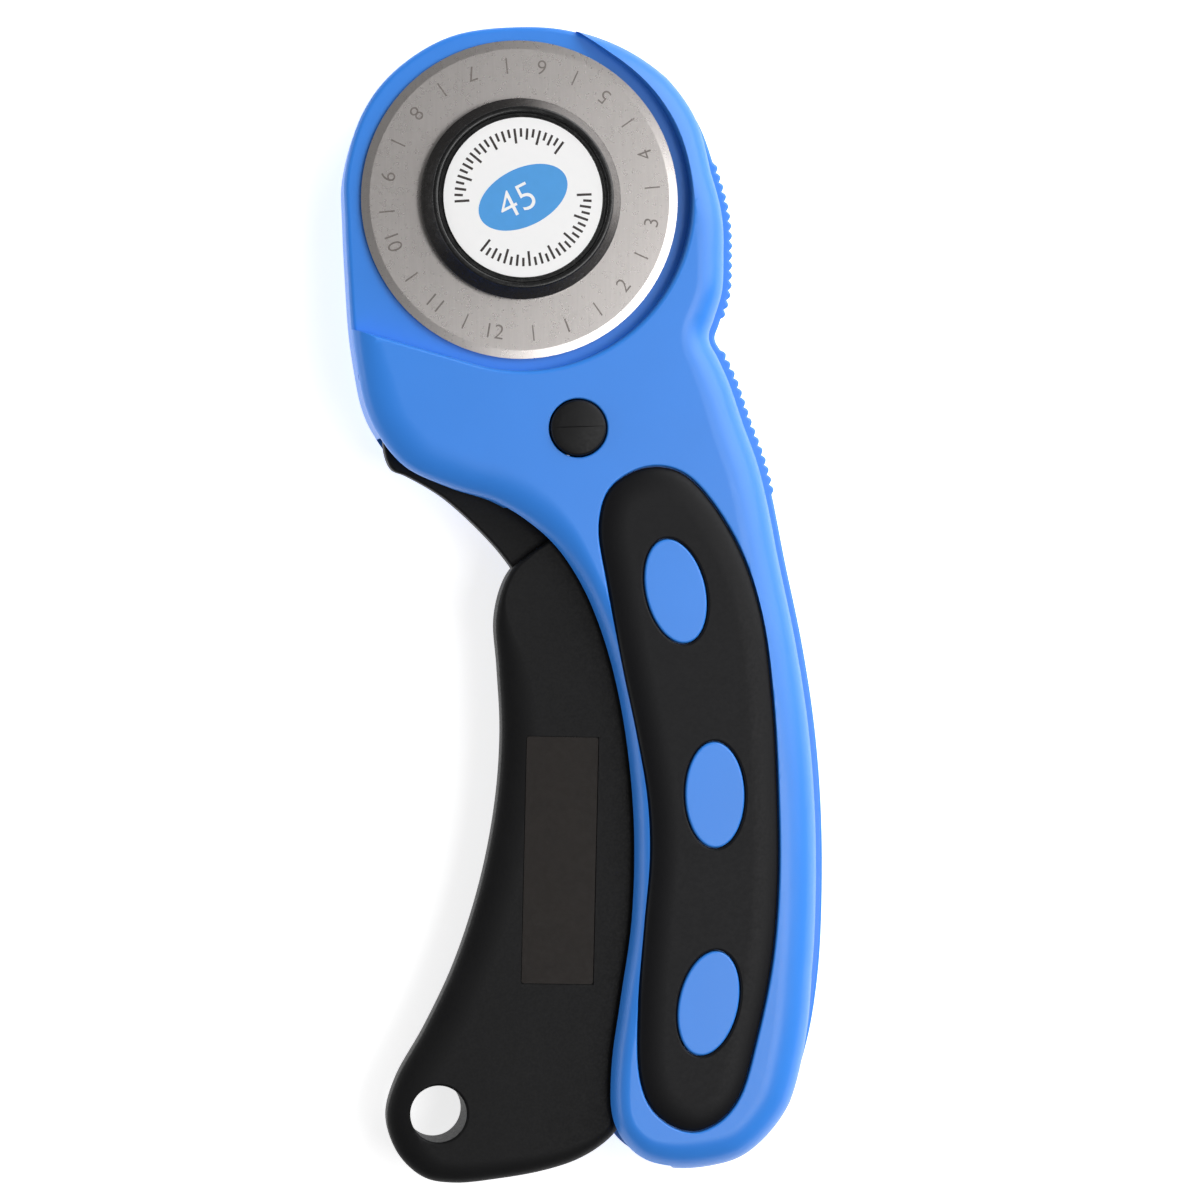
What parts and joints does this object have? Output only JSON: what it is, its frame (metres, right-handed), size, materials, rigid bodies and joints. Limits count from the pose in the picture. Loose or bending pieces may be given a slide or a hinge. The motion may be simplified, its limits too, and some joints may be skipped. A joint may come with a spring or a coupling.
{
  "type": "rotary cutter",
  "caption": "Squeeze-lever rotary cutter with a retracting round blade, handle with rubber grips and a sliding lock button.",
  "frame": {"origin": "on the blade's axis, in the plane the cutter rests on: the flat rear face of the nut cap", "axes": "+Z along the blade's axis towards the face of the blade, +Y from the handle to the head, +X towards the spine of the handle"},
  "size_m": [0.0689, 0.1638, 0.0204],
  "materials": {
    "blue_plastic": "satin moulded",
    "black_plastic": "fine spark-eroded grain",
    "gloss_black": "semi-gloss moulded",
    "grip_rubber": "matte moulded",
    "blade_steel": "ground",
    "plated_steel": "zinc plated",
    "label_paper": "smooth paper",
    "plaque_film": "satin film"
  },
  "bodies": {
    "frame": {"front_shell": "blue_plastic", "rear_shell": "blue_plastic", "front_grip": "grip_rubber", "rear_grip": "grip_rubber", "pivot_pin": "plated_steel", "return_spring": "plated_steel", "shell_screw_1": "plated_steel", "shell_screw_2": "plated_steel", "shell_screw_3": "plated_steel", "shell_screw_4": "plated_steel", "shell_screw_5": "plated_steel", "shell_screw_6": "plated_steel"},
    "lever": {"lever": "black_plastic", "lever_plaque": "plaque_film", "bolt_head": "gloss_black", "bolt_stud": "plated_steel", "bolt_label": "label_paper", "spring_washer": "plated_steel"},
    "blade": {"blade": "blade_steel"},
    "nut": {"nut_knob": "gloss_black", "nut_insert": "plated_steel"},
    "button": {"lock_button": "black_plastic", "lock_button_rear": "black_plastic"}
  },
  "joints": [
    {"name": "lever_squeeze", "type": "hinge", "parent": "frame", "child": "lever", "pos_m": [-0.00879, -0.03553, 0], "axis": [0, 0, 1], "range_deg": [0, 10.5], "stiffness_Nm_per_rad": 0.6, "springref_deg": -20.05, "deforming": ["return_spring"]},
    {"name": "blade_spin", "type": "hinge", "parent": "lever", "child": "blade", "pos_m": [0, 0, 0], "axis": [0, 0, 1], "continuous": true},
    {"name": "nut_turn", "type": "hinge", "parent": "lever", "child": "nut", "pos_m": [0, 0, 0], "axis": [0, 0, 1], "continuous": true},
    {"name": "lock_push", "type": "slide", "parent": "frame", "child": "button", "axis": [0, 0, -1], "range_m": [0, 0.0028]}
  ]
}
